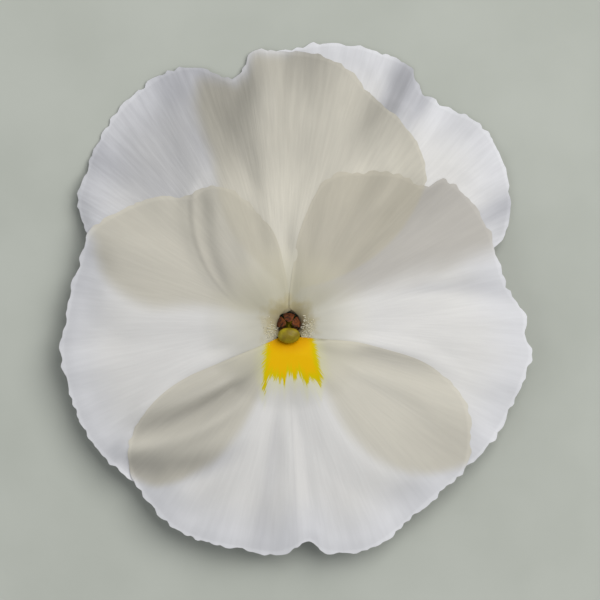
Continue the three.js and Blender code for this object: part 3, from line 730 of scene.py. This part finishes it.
GREEN = plain_material("calyx", (0.10, 0.19, 0.035), (0.20, 0.33, 0.08), 900, 0.5, 0.00006, 0.12)
STALK_GREEN = plain_material("stalk", (0.20, 0.31, 0.08), (0.32, 0.45, 0.16), 700, 0.42, 0.00005, 0.08)
SPUR_WHITE = plain_material("spur", (0.55, 0.60, 0.42), (0.72, 0.73, 0.66), 900, 0.5, 0.00004, 0.2)
ANTHER = plain_material("stamen", (0.03, 0.005, 0.002), (0.20, 0.05, 0.006), 2000, 0.75, 0.00015)
PISTIL_GREEN = plain_material("pistil", (0.20, 0.14, 0.003), (0.36, 0.29, 0.006), 900, 0.5, 0.00004, 0.1)

# Rows of (y, z, radius).
SPUR = [
    (-3.3, 9.2, 0.35), (-3.2, 8.9, 0.7), (-3.1, 8.2, 0.95), (-3.2, 7.5, 1.0), (-3.6, 6.6, 1.05),
    (-4.3, 5, 1.0), (-4.8, 3.6, 0.9), (-5.1, 2.8, 0.7),
    (-5.2, 2.45, 0.35),
]
# Rows of (x, y, z, radius).
STALK = [
    (1.6, -23, 0.8, 0.8), (1.2, -19, 0.8, 0.78), (0.7, -14, 0.8, 0.76), (0.2, -9, 0.82, 0.76),
    (0, -5, 0.84, 0.76), (0, -2.4, 0.9, 0.76), (0, -0.9, 1.2, 0.78), (0, -0.1, 1.8, 0.82),
    (0, 0, 2.6, 0.95),
    (0, 0, 3.2, 1.35), (0, 0, 3.8, 1.6), (0, 0, 5, 1.65), (0, 0, 6.2, 1.6), (0, 0, 6.6, 1.3),
]
STALK_LYING = 10  # so many of these rows lead up to the receptacle
# Bearing in degrees, and the share of its full length.
SEPALS = {
    "sepal_top": (90, 1.0),
    "sepal_upper_left": (160, 0.96),
    "sepal_upper_right": (20, 0.96),
    "sepal_lower_left": (226, 0.9),
    "sepal_lower_right": (314, 0.9),
}
# Rows of (distance from the axis, z, half width), from the auricle's tip to the sepal's.
SEPAL_RIB = [
    (2.9, 1.5, 0.4), (2.5, 2.4, 0.8), (2.25, 3.4, 0.85), (2.6, 4.3, 0.9), (3.5, 5.1, 1.15),
    (5, 5.9, 1.6),
    (7, 6.5, 1.75), (9.2, 6.7, 1.45), (11.2, 6.5, 0.85), (13, 6.1, 0.08),
]
SEPAL_ROOT = 2  # the row where the sepal grows from the receptacle
SEPAL_FREE = 3  # rows beyond this one are lengthened or shortened
# Bearing in degrees, and the share of its full height.
STAMENS = {
    "stamen_top": (90, 1.0),
    "stamen_left": (162, 0.96),
    "stamen_right": (18, 1.03),
    "stamen_lower_left": (234, 0.66),
    "stamen_lower_right": (306, 0.66),
}
# Rows of (distance from the axis, z, half width across, half width outwards).
STAMEN = [
    (1.2, 6.8, 0.3, 0.12), (1.35, 7.3, 0.66, 0.22), (1.4, 8.1, 0.8, 0.26), (1.3, 9, 0.76, 0.22),
    (1.1, 9.7, 0.66, 0.15), (0.75, 10.4, 0.5, 0.12), (0.5, 10.95, 0.2, 0.07),
]
# Rows of (y, z, half width in x, other half width).
PISTIL = [
    (0, 6.9, 0.3, 0.3), (0, 7.2, 0.62, 0.62), (0, 7.9, 0.74, 0.74), (0, 8.6, 0.6, 0.6),
    (0, 9.1, 0.3, 0.3),
    (-0.15, 9.5, 0.24, 0.24), (-0.45, 9.8, 0.35, 0.3), (-0.8, 10.05, 0.9, 0.65),
    (-1.1, 10.35, 1.4, 1.0),
    (-1.4, 10.75, 1.55, 1.12), (-1.6, 11.15, 1.3, 0.95), (-1.75, 11.5, 0.55, 0.4),
]
# On which side of the stalk each stands.
BRACTEOLES = {"bracteole_left": -1, "bracteole_right": 1}
# Rows of (y, distance from the stalk's line, z, half width).
BRACTEOLE_RIB = [
    (-12.6, 1.3, 0.9, 0.3), (-11.6, 1.25, 0.95, 0.5), (-10.4, 1.35, 1.05, 0.55), (-9.2, 1.6, 1.15, 0.4),
    (-8.2, 2, 1.2, 0.1),
]


def round_loft(rows, steps, sides, ridge=None):
    line = spline(rows, steps)
    return loft(rings_along(line[:, :3], line[:, [3, 3]], (1, 0, 0), sides, ridge))


def build_sepal(name, bearing, length):
    turn = math.radians(bearing)
    out = np.array([math.cos(turn), math.sin(turn), 0])
    left = np.array([-out[1], out[0], 0])
    rib = spline(SEPAL_RIB, SEPAL_STEPS)
    root = SEPAL_RIB[SEPAL_ROOT][0]
    free = np.arange(len(rib)) > SEPAL_FREE * SEPAL_STEPS
    reach = np.where(free, root + (rib[:, 0] - root) * length, rib[:, 0])
    across = np.linspace(1, -1, 15)
    half = rib[:, 2][:, None] * across[None]
    rise = 0.3 * rib[:, 2][:, None] * across[None] ** 2 - 0.12 * np.exp(-((across[None] / 0.16) ** 2))
    grid = reach[:, None, None] * out + half[..., None] * left
    grid = grid + np.array([0, 0, 1]) * (rib[:, 1][:, None] + rise)[..., None]
    thick = SEPAL_THICK * (1 - 0.6 * across[None] ** 4) * np.ones((len(rib), 1))
    points, faces = sheet(grid, thick)
    keep(mesh(name + "_look", points, faces), name, GREEN)


def groove(angle):
    """Radius of an anther at each angle: a furrow runs along it."""
    return 1 - 0.16 * np.exp(-((np.sin(angle) - 1) / 0.12) ** 2)


def ribs(angle):
    """Radius of the stalk at each angle: it has six shallow ribs."""
    return 1 - 0.05 * (1 + np.cos(6 * angle)) / 2


def build_stamen(name, bearing, height):
    turn = math.radians(bearing)
    out = np.array([math.cos(turn), math.sin(turn), 0])
    rows = spline(STAMEN, 6)
    base = STAMEN[0][1]
    centres = rows[:, :1] * out
    centres[:, 2] += mix(base, rows[:, 1], height)
    rings = rings_along(centres, rows[:, 2:], (-out[1], out[0], 0), 20, groove)
    points, faces = loft(rings)
    keep(mesh(name + "_look", points, faces), name, ANTHER)


for name, (bearing, length) in SEPALS.items():
    build_sepal(name, bearing, length)
for name, (bearing, height) in STAMENS.items():
    build_stamen(name, bearing, height)

points, faces = round_loft([(0, y, z, r) for y, z, r in SPUR], 8, 28)
keep(mesh("nectar_spur", points, faces), "lower_petal", SPUR_WHITE)

points, faces = round_loft(STALK, STALK_STEPS, 36, ribs)
keep(mesh("stalk_look", points, faces), "stalk", STALK_GREEN)

line = spline([(0, *row) for row in PISTIL], 6)
points, faces = loft(rings_along(line[:, :3], line[:, 3:], (1, 0, 0), 28))
keep(mesh("pistil_look", points, faces), "pistil", PISTIL_GREEN)

stalk_line = spline(STALK, STALK_STEPS)[: STALK_LYING * STALK_STEPS]
for name, side in BRACTEOLES.items():
    rib = spline(BRACTEOLE_RIB, 6)
    x = np.interp(rib[:, 0], stalk_line[:, 1], stalk_line[:, 0]) + side * rib[:, 1]
    across = np.linspace(-1, 1, 7)
    level = np.zeros(len(across))
    height = rib[:, 2:3] + side * rib[:, 3:] * across
    grid = np.dstack([x[:, None] + level, rib[:, :1] + level, height])
    points, faces = sheet(grid, BRACTEOLE_THICK * (1 - 0.5 * across[None] ** 4))
    keep(mesh(name + "_look", points, faces), name, GREEN)

# ---------------------------------------------------------------- beards: hairs on the lateral petals

HAIR_SIDES = 6
HAIR_RADII = np.array([0.7, 0.8, 0.9, 1.05, 1.1, 0.5])  # club shaped, from root to tip
HAIR_DROOP = 0.25  # share of its length by which the tip hangs
HAIR_LENGTH = (0.3, 0.5)
HAIR_RADIUS = (0.05, 0.07)
HAIRS = 110  # tried in each beard; those that would hang over the rim are left out
RIM_CLEARANCE = 0.15
BEARD_SPREAD = (1.1, 1.5)  # in x and y


def hair(start, ahead, length, radius):
    bend = np.array([0, 0, -HAIR_DROOP * length])
    t = np.linspace(0, 1, len(HAIR_RADII))[:, None]
    centres = start + ahead * length * t + bend * t**2
    radii = radius * HAIR_RADII
    side = np.cross(ahead, (0.3, 0.2, 1))
    return loft(rings_along(centres, np.column_stack([radii, radii]), side, HAIR_SIDES))


def build_beard(name, petal_name, side, middle, seed):
    random = np.random.default_rng(seed)
    points = []
    faces = []
    total = 0
    for _ in range(HAIRS):
        offset = random.normal(0, 0.5, 2) * BEARD_SPREAD
        x, y = np.array([middle[0] + offset[0]]), np.array([middle[1] + offset[1]])
        z, _, depth, _ = lie(PETALS[petal_name], x, y)
        if depth[0] < RIM_CLEARANCE:
            continue
        ahead = np.array([
            -side * random.uniform(0.2, 0.9),
            random.uniform(-0.8, 0.3),
            random.uniform(0.1, 0.5),
        ])
        ahead /= np.linalg.norm(ahead)
        start = np.array([x[0], y[0], z[0]])
        p, f = hair(start, ahead, random.uniform(*HAIR_LENGTH), random.uniform(*HAIR_RADIUS))
        points.append(p)
        faces += [[v + total for v in face] for face in f]
        total += len(p)
    keep(mesh(name, np.vstack(points), faces), petal_name, HAIR)


HAIR = plain_material("beard", (0.80, 0.77, 0.62), (0.88, 0.86, 0.76), 3000, 0.5, 0.00002, 0.6)
build_beard("left_beard", "left_lateral_petal", -1, (-2.9, -1.0), 5)
build_beard("right_beard", "right_lateral_petal", 1, (2.9, -0.5), 6)

# ---------------------------------------------------------------- floor, light and camera

VIEW_WIDTH = 82.8  # millimetres of the blossom's plane across the picture
VIEW_CENTRE = (1.52, 3.45)  # its middle, in flower coordinates
VIEW_Z = 6.0
CAMERA_HEIGHT = 600.0
SENSOR_WIDTH = 36
FLOOR_HALF = 0.6  # metres

floor_mesh = bpy.data.meshes.new("floor")
corners = [(x * FLOOR_HALF, y * FLOOR_HALF, 0) for x, y in ((-1, -1), (1, -1), (1, 1), (-1, 1))]
floor_mesh.from_pydata(corners, [], [(0, 1, 2, 3)])
floor = bpy.data.objects.new("floor", floor_mesh)
bpy.context.scene.collection.objects.link(floor)
paper = Shader("floor")
grain = paper.noise(paper.place(), 60, 4)
floor_mesh.materials.append(
    paper.surface(paper.blend(paper.span(grain, 0.3, 0.7), (0.38, 0.40, 0.36), (0.41, 0.43, 0.39)), 0.8)
)


def area_light(name, position, size, watts, colour=(1, 1, 1)):
    data = bpy.data.lights.new(name, "AREA")
    data.shape = "SQUARE"
    data.size = size
    data.energy = watts
    data.color = colour
    light = bpy.data.objects.new(name, data)
    light.location = position
    light.rotation_euler = (-Vector(position)).to_track_quat("-Z", "Y").to_euler()
    bpy.context.scene.collection.objects.link(light)


area_light("key", (0.3, 0.26, 0.6), 0.6, 5.2, (1.0, 0.99, 0.97))
area_light("fill", (-0.5, -0.2, 0.5), 0.6, 1.0, (0.95, 0.97, 1.0))

world = bpy.data.worlds.new("studio")
world.use_nodes = True
background = world.node_tree.nodes["Background"]
background.inputs[0].default_value = (0.96, 0.98, 1.0, 1)
background.inputs[1].default_value = 0.32
scene = bpy.context.scene
scene.world = world
scene.view_settings.view_transform = "Standard"

camera_data = bpy.data.cameras.new("camera")
camera = bpy.data.objects.new("camera", camera_data)
bpy.context.scene.collection.objects.link(camera)
camera_data.sensor_width = SENSOR_WIDTH
camera_data.lens = SENSOR_WIDTH * (CAMERA_HEIGHT - VIEW_Z) / VIEW_WIDTH
camera_data.dof.use_dof = False
camera.location = ((VIEW_CENTRE[0] + AXIS[0]) * MM, (VIEW_CENTRE[1] + AXIS[1]) * MM, CAMERA_HEIGHT * MM)
camera.rotation_euler = (0, 0, 0)
scene.camera = camera
